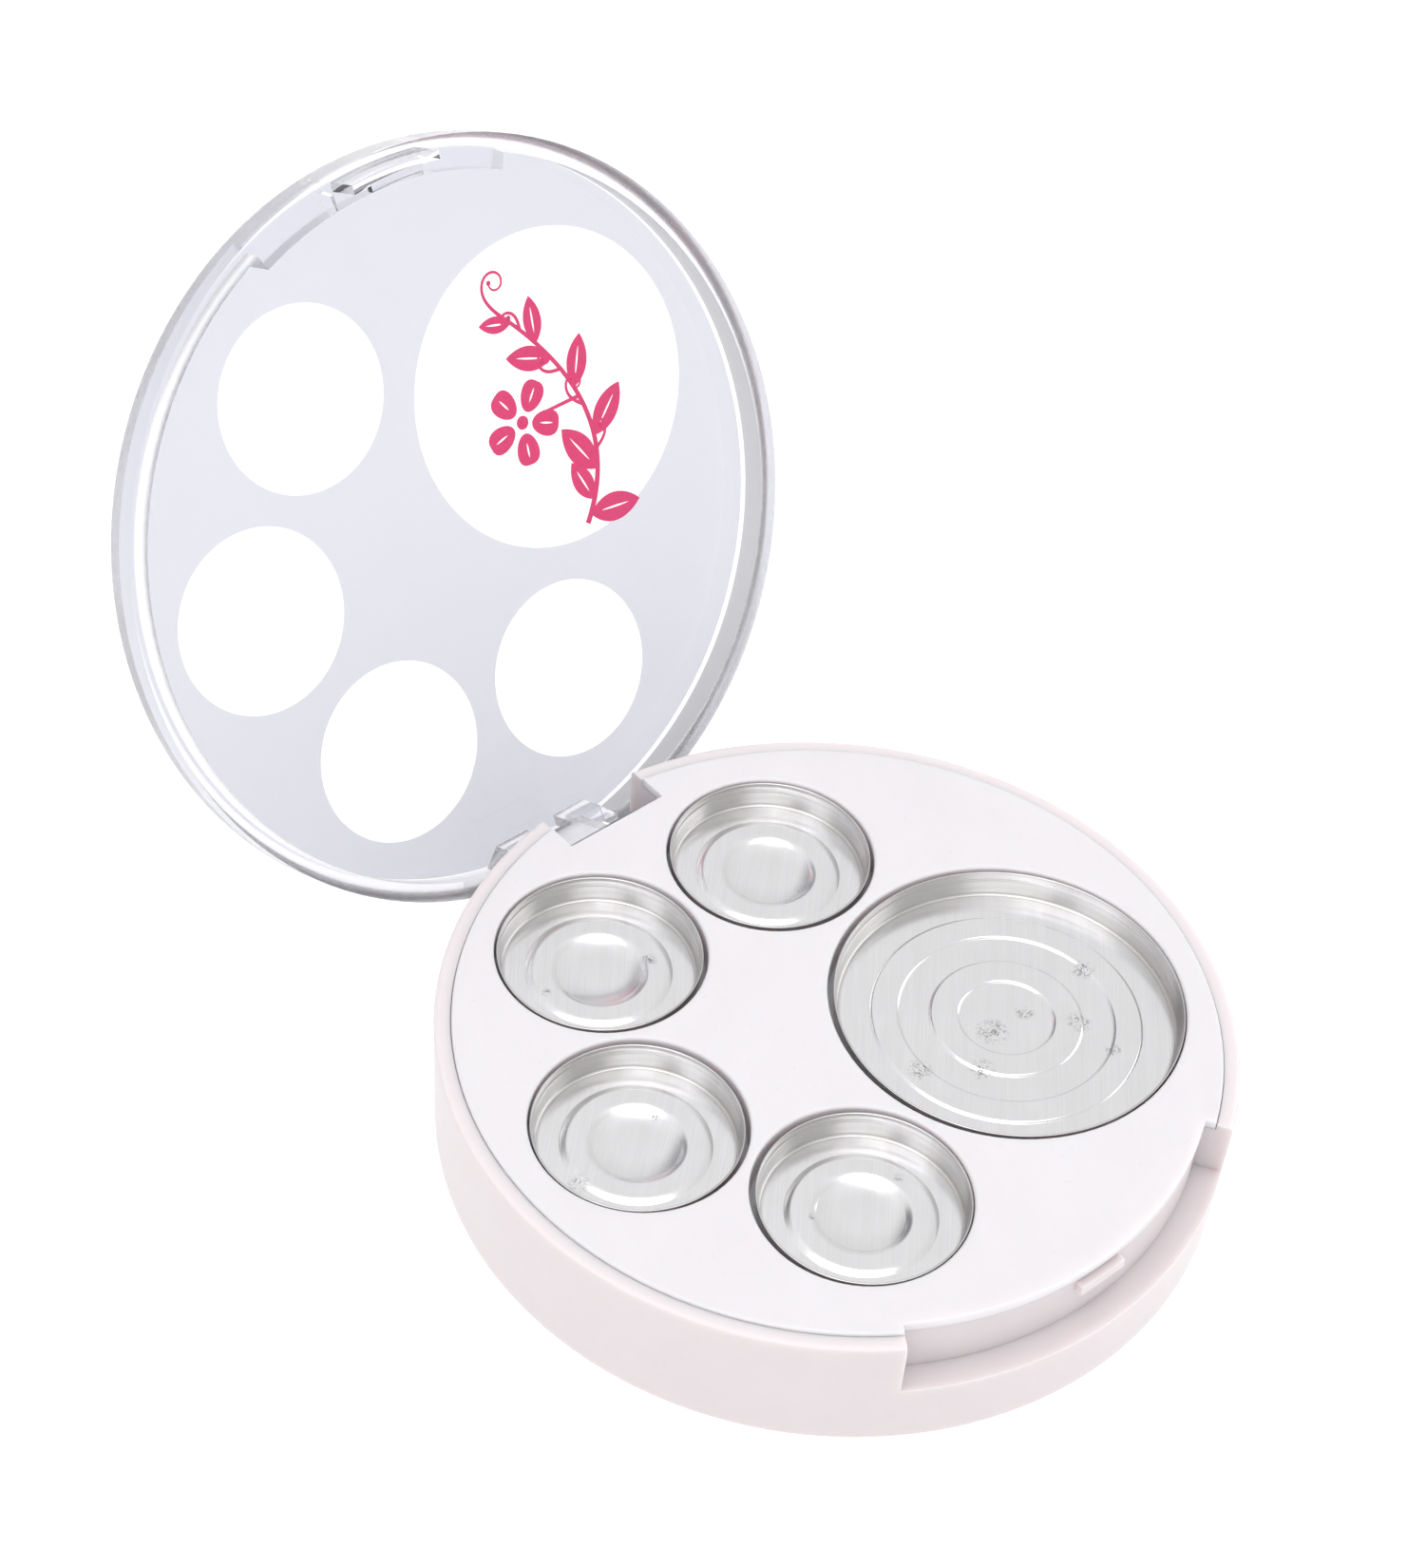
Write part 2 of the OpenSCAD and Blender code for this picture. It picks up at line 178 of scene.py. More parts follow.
class Finish:
    """A material being made: its shader and short ways to add and join nodes."""

    def __init__(self, name):
        self.material = bpy.data.materials.new(name)
        self.material.use_nodes = True
        self.tree = self.material.node_tree
        self.shader = next(n for n in self.tree.nodes if n.type == "BSDF_PRINCIPLED")
        self.place = self.add("ShaderNodeTexCoord").outputs["Object"]

    def add(self, kind, inputs=None, **settings):
        """A new node. An input's value is either a constant or another node's output."""
        node = self.tree.nodes.new(kind)
        for key, value in settings.items():
            setattr(node, key, value)
        for key, value in (inputs or {}).items():
            self.feed(node.inputs[key], value)
        return node

    def feed(self, socket, value):
        if isinstance(value, bpy.types.NodeSocket):
            self.tree.links.new(value, socket)
        else:
            socket.default_value = value

    def set(self, **inputs):
        """Sets or joins the shader's own inputs, named with _ for a space."""
        for key, value in inputs.items():
            self.feed(self.shader.inputs[key.replace("_", " ")], value)

    def centred(self, at, turn=0.0, scale=(1, 1, 1)):
        """Object coordinates counted from a point, then turned and stretched."""
        moved = self.add("ShaderNodeMapping", {"Vector": self.place, "Location": -Vector(at)}).outputs[0]
        return self.stretched(moved, turn, scale)

    def stretched(self, place, turn, scale):
        """Coordinates turned about Z, and only then stretched."""
        turned = self.add("ShaderNodeMapping", {"Vector": place, "Rotation": (0, 0, turn)}).outputs[0]
        return self.add("ShaderNodeMapping", {"Vector": turned, "Scale": scale}).outputs[0]

    def noise(self, place, scale, detail=2.0, rough=0.5, distortion=0.0):
        node = self.add("ShaderNodeTexNoise", {
            "Vector": place, "Scale": scale, "Detail": detail, "Roughness": rough,
            "Distortion": distortion})
        return node.outputs["Fac"]

    def math(self, operation, a, b=0.0, clamp=False):
        node = self.add("ShaderNodeMath", operation=operation, use_clamp=clamp)
        self.feed(node.inputs[0], a)
        self.feed(node.inputs[1], b)
        return node.outputs[0]

    def span(self, value, low, high, to_low=0.0, to_high=1.0, smooth=False):
        """value from low..high mapped to to_low..to_high, and held at both ends."""
        node = self.add("ShaderNodeMapRange", {
            "Value": value, "From Min": low, "From Max": high, "To Min": to_low, "To Max": to_high},
            interpolation_type="SMOOTHSTEP" if smooth else "LINEAR", clamp=True)
        return node.outputs[0]

    def blend(self, factor, a, b, mode="MIX"):
        node = self.add("ShaderNodeMix", {"Factor": factor}, data_type="RGBA", blend_type=mode)
        for key, value in (("A", a), ("B", b)):
            socket = next(s for s in node.inputs if s.name == key and s.type == "RGBA")
            self.feed(socket, value if isinstance(value, bpy.types.NodeSocket) else (*value, 1))
        return next(s for s in node.outputs if s.type == "RGBA")

    def bump(self, height, strength, distance, under=None):
        inputs = {"Height": height, "Strength": strength, "Distance": distance}
        if under is not None:
            inputs["Normal"] = under
        return self.add("ShaderNodeBump", inputs).outputs[0]

    def parts(self, place):
        node = self.add("ShaderNodeSeparateXYZ", {"Vector": place})
        return node.outputs[0], node.outputs[1], node.outputs[2]

    def radius(self, place):
        """Distance from the Z axis through the origin of place."""
        x, y, _ = self.parts(place)
        square = self.math("ADD", self.math("MULTIPLY", x, x), self.math("MULTIPLY", y, y))
        return self.math("SQRT", square)

    def round_wall(self, place, radius, scale, height):
        """Coordinates that follow a round wall: its direction from the axis, scaled, and a height."""
        x, y, _ = self.parts(place)
        across = [self.math("MULTIPLY", self.math("DIVIDE", side, radius), scale) for side in (x, y)]
        node = self.add("ShaderNodeCombineXYZ", {"X": across[0], "Y": across[1], "Z": height})
        return node.outputs[0]

    def scratches(self, place, turn, spread):
        """A mask of fine scratches, running at an angle."""
        lines = self.stretched(place, turn, (60, 3600, 60))
        streaks = self.span(self.noise(lines, 1.0, 1.0), 0.66, 0.72)
        where = self.span(self.noise(place, spread, 1.0), 0.5, 0.7)
        return self.math("MULTIPLY", streaks, where)


def scaled(colour, share):
    """A colour made darker, or lighter where share is above 1."""
    return tuple(c * share for c in colour)


def cad_copy(node_name):
    """A CAD node's shape as a bmesh, with its triangles merged and its flat faces made whole."""
    bm = bmesh.new()
    bm.from_mesh(NODES[node_name].data)
    bmesh.ops.remove_doubles(bm, verts=bm.verts, dist=MERGE_DISTANCE)
    bmesh.ops.dissolve_limit(
        bm, angle_limit=FLAT_ANGLE, use_dissolve_boundaries=False, verts=bm.verts,
        edges=bm.edges, delimit=set())
    return bm


def soften_edges(bm, width, segments=2):
    """Rounds every sharp edge."""
    sharp = [e for e in bm.edges if e.is_manifold and abs(e.calc_face_angle(0)) > SHARP_ANGLE]
    bmesh.ops.bevel(
        bm, geom=sharp, offset=width, offset_type="OFFSET", segments=segments, profile=0.5,
        affect="EDGES", clamp_overlap=True, material=-1)


def about_hinge(angle):
    """A turn about the hinge axis. A positive angle opens the lid."""
    turn = Matrix.Rotation(angle, 4, Vector(HINGE["axis"]))
    return Matrix.Translation(HINGE_AT) @ turn @ Matrix.Translation(-HINGE_AT)


def piece(name, bm, materials, body, node=None):
    """Makes a finished, smoothly shaded object of a bmesh, and ties it to its CAD body."""
    mesh = bpy.data.meshes.new(name)
    bm.to_mesh(mesh)
    bm.free()
    mesh.shade_smooth()
    for material in materials:
        mesh.materials.append(material)
    obj = bpy.data.objects.new(name, mesh)
    bpy.context.scene.collection.objects.link(obj)
    even = obj.modifiers.new("Even shading", "WEIGHTED_NORMAL")
    even.keep_sharp = True
    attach(obj, body)
    if node:
        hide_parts(node)
    return obj


def dress(node_name, material):
    """Gives a CAD node that stays visible its material."""
    for slot in NODES[node_name].material_slots:
        slot.link = "OBJECT"
        slot.material = material


def spun(points, at, steps):
    """A bmesh of a closed outline of (radius, height) points, spun about a vertical axis."""
    bm = bmesh.new()
    verts = [bm.verts.new((r, 0, z)) for r, z in points]
    edges = [bm.edges.new(pair) for pair in zip(verts, verts[1:])]
    bmesh.ops.spin(
        bm, geom=verts + edges, cent=(0, 0, 0), axis=(0, 0, 1), angle=2 * math.pi, steps=steps,
        use_merge=True)
    bmesh.ops.remove_doubles(bm, verts=bm.verts, dist=MERGE_DISTANCE)
    bmesh.ops.recalc_face_normals(bm, faces=bm.faces)
    bmesh.ops.translate(bm, verts=bm.verts, vec=at)
    return bm


def arc(centre, radius, start, end, steps):
    """Points on an arc, from one angle to another, both in degrees."""
    angles = [math.radians(start + (end - start) * i / steps) for i in range(steps + 1)]
    return [(centre[0] + radius * math.cos(a), centre[1] + radius * math.sin(a)) for a in angles]


def pan_place(name):
    """Centre of a pan's foot, its outer radius and its height."""
    low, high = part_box("pan_" + name)
    middle = (low + high) / 2
    return Vector((middle.x, middle.y, low.z)), (high.x - low.x) / 2, high.z - low.z


# ---------------------------------------------------------------- finishes


def moulded_plastic(name, colour, gloss, grain, painted_light_above=None):
    """Pale moulded plastic: soft flow marks, a fine spark-eroded grain, specks and hair scratches.

    The optional last argument is a height, and the share that the colour is multiplied by above it:
    painted light, which makes the faces above that height lighter."""
    f = Finish(name)
    clouds = f.noise(f.place, 38, 3.0, 0.55, 0.6)
    flow = f.noise(f.centred((0, 0, 0), 0.6, (1, 0.25, 1)), 160, 2.0)
    tone = f.blend(f.span(clouds, 0.3, 0.7), scaled(colour, 0.975), colour)
    tone = f.blend(f.span(flow, 0.42, 0.62, 0.0, 0.35), tone, scaled(colour, 1.02))
    specks = f.span(f.noise(f.place, 1500, 0.0), 0.84, 0.87)
    tone = f.blend(f.math("MULTIPLY", specks, 0.12), tone, scaled(colour, 0.6))
    # painted light: above the given height the colour is made lighter, standing in for brighter light on
    # the top faces
    if painted_light_above:
        height, share = painted_light_above
        above = f.span(f.parts(f.place)[2], height - 0.2 * MM, height)
        tone = f.blend(above, tone, scaled(colour, share))
    fine = f.noise(f.place, 5200, 2.0, 0.6)
    scuffs = f.scratches(f.place, 0.5, 90)
    rough = f.span(clouds, 0.3, 0.7, gloss - 0.03, gloss + 0.04)
    rough = f.math("ADD", rough, f.math("MULTIPLY", scuffs, 0.12))
    rough = f.math("ADD", rough, f.span(fine, 0.3, 0.7, -0.02, 0.03))
    peel = f.noise(f.place, 420, 1.0)
    normal = f.bump(fine, grain, 0.02 * MM)
    normal = f.bump(peel, 0.10, 0.02 * MM, normal)
    normal = f.bump(f.math("SUBTRACT", 1.0, scuffs), 0.12, 0.01 * MM, normal)
    f.set(Base_Color=tone, Roughness=rough, Normal=normal, IOR=1.5, Subsurface_Weight=0.7,
          Subsurface_Radius=(1.0, 0.72, 0.70), Subsurface_Scale=2.4 * MM)
    return f.material


def frosted_plastic(name, colour):
    """The lid's frosted face: a translucent etched texture with faint cloudiness."""
    f = Finish(name)
    clouds = f.noise(f.place, 45, 3.0, 0.5, 0.4)
    tone = f.blend(f.span(clouds, 0.3, 0.7), scaled(colour, 0.97), colour)
    etch = f.noise(f.place, 7000, 3.0, 0.7)
    rough = f.span(clouds, 0.3, 0.7, 0.46, 0.54)
    rough = f.math("ADD", rough, f.span(etch, 0.3, 0.7, -0.03, 0.03))
    f.set(Base_Color=tone, Roughness=rough, Normal=f.bump(etch, 0.35, 0.01 * MM), IOR=1.49,
          Transmission_Weight=0.9)
    return f.material


def clear_plastic(name, colour, rough_low, rough_high):
    """Polished clear plastic with the faint ripple of a moulding."""
    f = Finish(name)
    ripple = f.noise(f.place, 130, 1.0)
    tone = f.blend(f.span(ripple, 0.1, 0.9), scaled(colour, 0.995), colour)
    rough = f.span(ripple, 0.1, 0.9, rough_low, rough_high)
    f.set(Base_Color=tone, Roughness=rough, Normal=f.bump(ripple, 0.04, 0.02 * MM), IOR=1.49,
          Transmission_Weight=1.0)
    return f.material


def pan_metal(name, colour, at, radius, grain_turn, scuff_spots):
    """Pressed aluminium: rolled grain on the floor, bands round the wall, small dark scuffs, and painted
    reflection and shade on the wall.

    scuff_spots are (distance from the middle, angle in degrees, size)."""
    f = Finish(name)
    here = f.centred(at)
    z = f.parts(here)[2]
    r = f.radius(here)
    on_wall = f.span(r, radius - 1.25 * MM, radius - 0.85 * MM)
    # rolled grain: long fine streaks in one direction
    grain = f.noise(f.centred(at, grain_turn, (90, 4200, 90)), 1.0, 3.0, 0.6)
    broad = f.noise(f.centred(at, grain_turn, (40, 700, 40)), 1.0, 2.0)
    # bands drawn round the wall by the press tool
    bands = f.noise(f.round_wall(here, r, 1.6, f.math("MULTIPLY", z, 3200)), 1.0, 3.0, 0.6)
    lines = f.add(
        "ShaderNodeMix", {"Factor": on_wall, "A": grain, "B": bands}, data_type="FLOAT").outputs[0]
    clouds = f.noise(here, 180, 2.0, 0.5, 0.5)
    tone = f.blend(f.span(clouds, 0.3, 0.7), scaled(colour, 0.97), colour)
    tone = f.blend(f.span(broad, 0.35, 0.65, 0.0, 0.35), tone, scaled(colour, 0.9))
    tone = f.blend(f.span(grain, 0.4, 0.68, 0.0, 0.3), tone, scaled(colour, 0.86))
    # painted reflection and shade on the wall: pinkish-brown spots and darker bands, and the whole wall
    # painted darker than the floor, besides being rougher
    patch_noise = f.noise(f.round_wall(here, r, 1.3, f.math("MULTIPLY", z, 250)), 1.0, 2.0)
    painted_warm_spots = f.math("MULTIPLY", f.span(patch_noise, 0.42, 0.62), on_wall)
    painted_warm_tint = tuple(c * share for c, share in zip(colour, (0.70, 0.68, 0.64)))
    tone = f.blend(f.math("MULTIPLY", painted_warm_spots, 0.6), tone, painted_warm_tint)
    # painted reflection: darker bands on the wall
    painted_dark_bands = f.math("MULTIPLY", f.span(bands, 0.45, 0.65), f.math("MULTIPLY", on_wall, 0.5))
    tone = f.blend(painted_dark_bands, tone, scaled(colour, 0.7))
    # painted shade: the whole wall is made darker than the floor
    tone = f.blend(on_wall, tone, (0.80, 0.795, 0.785), "MULTIPLY")
    # scuffs: broken dark marks inside a few round spots
    chips = f.span(f.noise(here, 1700, 3.0, 0.7, 1.2), 0.5, 0.58)
    marks = None
    for spot_r, spot_angle, spot_size in scuff_spots:
        angle = math.radians(spot_angle)
        spot = Vector(at) + Vector((spot_r * math.cos(angle), spot_r * math.sin(angle), 0))
        near = f.span(f.radius(f.centred(spot)), spot_size * 0.3, spot_size, 1.0, 0.0, True)
        marks = near if marks is None else f.math("MAXIMUM", marks, near)
    chips = f.math("MULTIPLY", chips, marks)
    tone = f.blend(f.math("MULTIPLY", chips, 0.85), tone, scaled(colour, 0.25))
    rough = f.span(lines, 0.3, 0.7, 0.15, 0.21)
    rough = f.math("ADD", rough, f.span(clouds, 0.3, 0.7, -0.02, 0.03))
    rough = f.math("ADD", rough, f.math("MULTIPLY", chips, 0.3))
    rough = f.math("ADD", rough, f.math("MULTIPLY", on_wall, 0.12))
    normal = f.bump(lines, 0.16, 0.01 * MM)
    normal = f.bump(f.noise(here, 260, 1.0), 0.06, 0.04 * MM, normal)
    f.set(Base_Color=tone, Metallic=1.0, Roughness=rough, Normal=normal)
    return f.material


def printed_ink(name, colour):
    """Screen-printed ink: a satin film with a faint mesh texture and uneven coverage, which also glows a
    little: painted light.
    """
    f = Finish(name)
    cover = f.noise(f.place, 1400, 3.0, 0.6)
    tone = f.blend(f.span(cover, 0.35, 0.75), scaled(colour, 0.9), colour)
    mesh = f.noise(f.place, 9000, 1.0)
    rough = f.span(cover, 0.3, 0.7, 0.36, 0.5)
    # the emission is painted light: the ink glows to look brighter lit
    f.set(Base_Color=tone, Roughness=rough, Normal=f.bump(mesh, 0.2, 0.01 * MM),
          Emission_Color=tone, Emission_Strength=0.42)
    return f.material


def foam_tape(name):
    """White foam tape: closed cells and a slightly yellowed adhesive skin."""
    f = Finish(name)
    cells = f.add("ShaderNodeTexVoronoi", {"Vector": f.place, "Scale": 4200.0}).outputs["Distance"]
    skin = f.noise(f.place, 300, 3.0)
    tone = f.blend(f.span(skin, 0.3, 0.7), (0.80, 0.79, 0.72), (0.88, 0.87, 0.83))
    tone = f.blend(f.span(cells, 0.0, 0.5, 0.3, 0.0), tone, (0.62, 0.61, 0.56))
    f.set(Base_Color=tone, Roughness=f.span(skin, 0.3, 0.7, 0.55, 0.75),
          Normal=f.bump(cells, 0.5, 0.05 * MM))
    return f.material


def ground_steel(name):
    """Ground steel pin: fine rings round its length."""
    f = Finish(name)
    rings = f.noise(f.centred((0, 0, 0), 0.0, (9000, 300, 300)), 1.0, 2.0, 0.6)
    tone = f.blend(f.span(rings, 0.3, 0.7), (0.52, 0.52, 0.53), (0.66, 0.66, 0.68))
    f.set(Base_Color=tone, Metallic=1.0, Roughness=f.span(rings, 0.3, 0.7, 0.2, 0.34),
          Normal=f.bump(rings, 0.25, 0.01 * MM))
    return f.material


# ---------------------------------------------------------------- base


class PALETTE_OT_base_shell(bpy.types.Operator):
    """Finish the base shell: softened edges and moulded plastic"""

    bl_idname = "palette.base_shell"
    bl_label = "Base Shell"

    def execute(self, context):
        sizes, colours = context.scene.palette_sizes, context.scene.palette_colours
        bm = cad_copy("base_shell")
        soften_edges(bm, sizes.shell_edge)
        ring_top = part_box("base_shell")[1].z
        # the top of the ring is painted 12 % lighter: painted light on its top faces
        plastic = moulded_plastic(
            "shell_plastic", tuple(colours.shell), 0.34, 0.10, (ring_top - 0.15 * MM, 1.12))
        piece("shell", bm, [plastic], "base", "base_shell")
        return {"FINISHED"}


class PALETTE_OT_pan_plate(bpy.types.Operator):
    """Finish the plate that the pans stand in"""

    bl_idname = "palette.pan_plate"
    bl_label = "Pan Plate"

    def execute(self, context):
        sizes, colours = context.scene.palette_sizes, context.scene.palette_colours
        bm = cad_copy("pan_plate")
        soften_edges(bm, sizes.plate_edge)
        plastic = moulded_plastic("plate_plastic", tuple(colours.plate), 0.32, 0.08)
        piece("plate", bm, [plastic], "base", "pan_plate")
        return {"FINISHED"}


class PALETTE_OT_pins(bpy.types.Operator):
    """Give the hinge pins their ground steel"""

    bl_idname = "palette.pins"
    bl_label = "Hinge Pins"

    def execute(self, context):
        steel = ground_steel("pin_steel")
        for side in ("left", "right"):
            dress("hinge_pin_" + side, steel)
        return {"FINISHED"}


# ---------------------------------------------------------------- pans

# inner and outer radius of each rib pressed into a pan's floor
SMALL_RIBS = ((5.3 * MM, 9.4 * MM),)
LARGE_RIBS = ((5.9 * MM, 9.8 * MM), (13.5 * MM, 17.3 * MM))
PAN_SPIN_STEPS = 160
RIB_STEPS = 8


def rib_height_at(r, ribs, height, edge):
    """Height of a pan's floor above its flat parts. Each edge of a rib is a quarter of a sine wave."""
    for inner, outer in ribs:
        if inner < r < outer:
            in_from_edge = min(r - inner, outer - r, edge)
            return height * math.sin(math.pi / 2 * in_from_edge / edge)
    return 0.0


def pan_outline(radius, height, ribs, rib_height, edge, sizes):
    """Outline of a pan's wall and floor, from the middle of its floor to the middle of its underside."""
    low_r = radius - sizes.wall_taper
    radii = [0.0, ribs[0][0] / 2]
    for inner, outer in ribs:
        radii += [inner + edge * i / RIB_STEPS for i in range(RIB_STEPS + 1)]
        radii += [outer - edge * i / RIB_STEPS for i in range(RIB_STEPS, -1, -1)]
    floor = [(r, rib_height_at(r, ribs, rib_height, edge)) for r in radii]
    inside_corner = sizes.pan_corner - sizes.sheet
    middle = (low_r - sizes.pan_corner, sizes.pan_corner)
    # a fine bead round the inside of the wall
    bead_z, bead_half, bead_out = height - 1.2 * MM, 0.3 * MM, 0.07 * MM
    bead = [(radius - sizes.sheet + (bead_z - height) / height * sizes.wall_taper + bead_out * share,
             bead_z + bead_half * t)
            for t, share in ((-1, 0), (-0.6, 0.5), (-0.2, 0.95), (0.2, 0.95), (0.6, 0.5), (1, 0))]
    inside = [(r, z + sizes.sheet) for r, z in floor]
    inside += arc(middle, inside_corner, -90, 0, 6)
    inside += bead
    lip = 0.05 * MM
    rim = [(radius - sizes.sheet, height - lip), (radius - sizes.sheet + lip, height),
           (radius - lip, height), (radius, height - lip)]
    outside = arc(middle, sizes.pan_corner, 0, -90, 6)
    return inside + rim + outside + floor[::-1]


def dent(bm, at, seed, amount):
    """Moves a pan's points a little, as thin pressed sheet is never quite true."""
    for v in bm.verts:
        here = (v.co - at) * 90
        v.co.z += amount * noise.noise(here + Vector((seed, 0, 0)))
        push = amount * noise.noise(here * 0.6 + Vector((0, seed, 7)))
        out = Vector((v.co.x - at.x, v.co.y - at.y, 0))
        v.co += out.normalized() * push


class PALETTE_OT_pans(bpy.types.Operator):
    """Spin the five metal pans, one piece each"""

    bl_idname = "palette.pans"
    bl_label = "Pans"

    # grain direction, and scuffs as distance from the middle, angle and size, for each pan
    finishes = {
        "large": (-0.81, ((3.0 * MM, 192, 2.6 * MM), (2.7 * MM, 345, 1.5 * MM), (13.5 * MM, 0, 1.8 * MM),
                          (14.6 * MM, 179, 2.0 * MM), (9.4 * MM, 208, 2.0 * MM), (9.2 * MM, 318, 2.0 * MM),
                          (14.0 * MM, 300, 1.3 * MM))),
        "back_right": (-0.75, ((4.9 * MM, 286, 0.7 * MM),)),
        "back_left": (-0.86, ((6.6 * MM, 338, 1.3 * MM), (7.8 * MM, 173, 0.8 * MM))),
        "left": (-0.70, ((4.9 * MM, 22, 0.9 * MM), (9.3 * MM, 183, 1.6 * MM))),
        "front_left": (-0.80, ((7.3 * MM, 11, 0.8 * MM), (6.0 * MM, 146, 0.7 * MM))),
    }

    def execute(self, context):
        sizes, colours = context.scene.palette_sizes, context.scene.palette_colours
        large = (LARGE_RIBS, sizes.large_rib, sizes.large_rib_edge)
        small = (SMALL_RIBS, sizes.small_rib, sizes.small_rib_edge)
        for number, name in enumerate(PANS):
            at, radius, height = pan_place(name)
            line = pan_outline(radius, height, *(large if name == "large" else small), sizes)
            bm = spun(line, at, PAN_SPIN_STEPS)
            dent(bm, at, 3.7 * number, 0.02 * MM)
            grain_turn, spots = self.finishes[name]
            metal = pan_metal("pan_metal_" + name, tuple(colours.metal), at, radius, grain_turn, spots)
            piece(name + "_pan", bm, [metal], name + "_refill", "pan_" + name)
        return {"FINISHED"}


class PALETTE_OT_pads(bpy.types.Operator):
    """Give the adhesive pads under the pans their foam tape"""

    bl_idname = "palette.pads"
    bl_label = "Adhesive Pads"

    def execute(self, context):
        tape = foam_tape("foam_tape")
        for name in PANS:
            dress("pad_" + name, tape)
        return {"FINISHED"}


# ---------------------------------------------------------------- lid

WINDOW_STEPS = 128
# middle of each clear window on the closed lid
WINDOWS = {
    "large": (19.87 * MM, -10.34 * MM),
    "back_right": (11.56 * MM, 26.78 * MM),
    "back_left": (-16.61 * MM, 26.19 * MM),
    "left": (-30.15 * MM, 1.43 * MM),
    "front_left": (-15.86 * MM, -22.95 * MM),
}


def lid_top_height():
    """Height of the closed lid's outer face."""
    back = about_hinge(-OPEN_ANGLE)
    return max((back @ v.co).z for v in NODES["lid"].data.vertices)


def cut_windows(bm, top, sizes):
    """Remakes the lid's outer face with round windows set slightly below it, and returns them."""
    level = 0.005 * MM
    flat = [f for f in bm.faces if f.normal.z > 0.999 and abs(f.calc_center_median().z - top) < level]
    bmesh.ops.delete(bm, geom=flat, context="FACES_ONLY")
    outer = [e for e in bm.edges if e.is_boundary and all(abs(v.co.z - top) < level for v in e.verts)]
    rings = []
    for name, (x, y) in WINDOWS.items():
        made = bmesh.ops.create_circle(
            bm, cap_ends=False, segments=WINDOW_STEPS,
            radius=sizes.large_window if name == "large" else sizes.small_window,
            matrix=Matrix.Translation((x, y, top)))
        rings.append({e for v in made["verts"] for e in v.link_edges})
    bmesh.ops.triangle_fill(
        bm, use_beauty=True, use_dissolve=False, normal=(0, 0, 1),
        edges=outer + [e for ring in rings for e in ring])
    panes = []
    for ring in rings:
        filled = bmesh.ops.edgeloop_fill(bm, edges=list(ring))["faces"]
        bmesh.ops.recalc_face_normals(bm, faces=filled)
        for face in filled:
            if face.normal.z < 0:
                face.normal_flip()
        bmesh.ops.inset_region(
            bm, faces=filled, thickness=sizes.window_step, depth=-sizes.window_step,
            use_even_offset=True)
        panes += filled
    return panes


class PALETTE_OT_lid(bpy.types.Operator):
    """Finish the lid: round clear windows in a frosted face, and polished edges"""

    bl_idname = "palette.lid"
    bl_label = "Lid"

    # radius beyond which a face belongs to the rim
    rim_from = 46.5 * MM
    # half of the width that the catch takes up at the front
    catch_half = 9 * MM
    # distance from the hinge axis within which a face belongs to the barrel
    barrel = 4.5 * MM
    # order of the finishes in the lid's material slots
    polished, frosted, window, wall, etched = range(5)

    def execute(self, context):
        sizes, colours = context.scene.palette_sizes, context.scene.palette_colours
        bm = cad_copy("lid")
        bmesh.ops.transform(bm, matrix=about_hinge(-OPEN_ANGLE), verts=bm.verts)
        bm.normal_update()
        soften_edges(bm, sizes.lid_edge)
        bm.normal_update()
        top = lid_top_height()
        panes = cut_windows(bm, top, sizes)
        bm.normal_update()
        for face in bm.faces:
            face.material_index = self.finish_of(face, top)
        for face in panes:
            face.material_index = self.window
        bmesh.ops.transform(bm, matrix=about_hinge(OPEN_ANGLE), verts=bm.verts)
        finishes = [clear_plastic("lid_polished", tuple(colours.clear), 0.20, 0.28),
                    frosted_plastic("lid_frosted", tuple(colours.frosted)),
                    clear_plastic("lid_window", (0.99, 0.99, 0.995), 0.015, 0.03),
                    # painted shade: a dark copy of the clear plastic for the right side of the rim's inner
                    # wall
                    clear_plastic("lid_painted_shade_wall", scaled(colours.clear, 0.30), 0.2, 0.28),
                    # a rougher finish for the rim's underside and the barrel; its darker tint is painted
                    # shade
                    clear_plastic("lid_etched_painted_shade", scaled(colours.clear, 0.68), 0.34, 0.42)]
        piece("lid_moulding", bm, finishes, "lid", "lid")
        return {"FINISHED"}

    def finish_of(self, face, top):
        """Which of the lid's finishes a face of the closed lid has."""
        middle = face.calc_center_median()
        on_rim = min(v.co.xy.length for v in face.verts) > self.rim_from
        if face.normal.z > 0.999 and middle.z > top - 0.01 * MM:
            return self.frosted
        # the catch is as clear as a window, and so is the inner face, whose middle passes here too
        if middle.y < 0 and abs(middle.x) < self.catch_half:
            return self.window
        # the right side of the rim's inner wall gets a much darker tint than the left: painted shade
        if face.normal.xy.dot(middle.xy.normalized()) < -0.9 and on_rim and middle.x > 0:
            return self.wall
        # the rim's underside and the barrel get a rougher copy of the clear plastic, whose darker tint is
        # painted shade
        if face.normal.z < -0.9 and on_rim or (middle - HINGE_AT).yz.length < self.barrel:
            return self.etched
        return self.polished


# ---------------------------------------------------------------- printed sprig


def outline(points):
    """A flat, filled curve from one or more closed splines of (corner, left handle, right handle)."""
    curve = bpy.data.curves.new("print", "CURVE")
    curve.dimensions = "2D"
    curve.fill_mode = "BOTH"
    for corners in points:
        spline = curve.splines.new("BEZIER")
        spline.bezier_points.add(len(corners) - 1)
        spline.use_cyclic_u = True
        spline.resolution_u = 12
        for point, (at, left, right) in zip(spline.bezier_points, corners):
            point.handle_left_type = point.handle_right_type = "FREE"
            point.co, point.handle_left, point.handle_right = at.to_3d(), left.to_3d(), right.to_3d()
    return curve


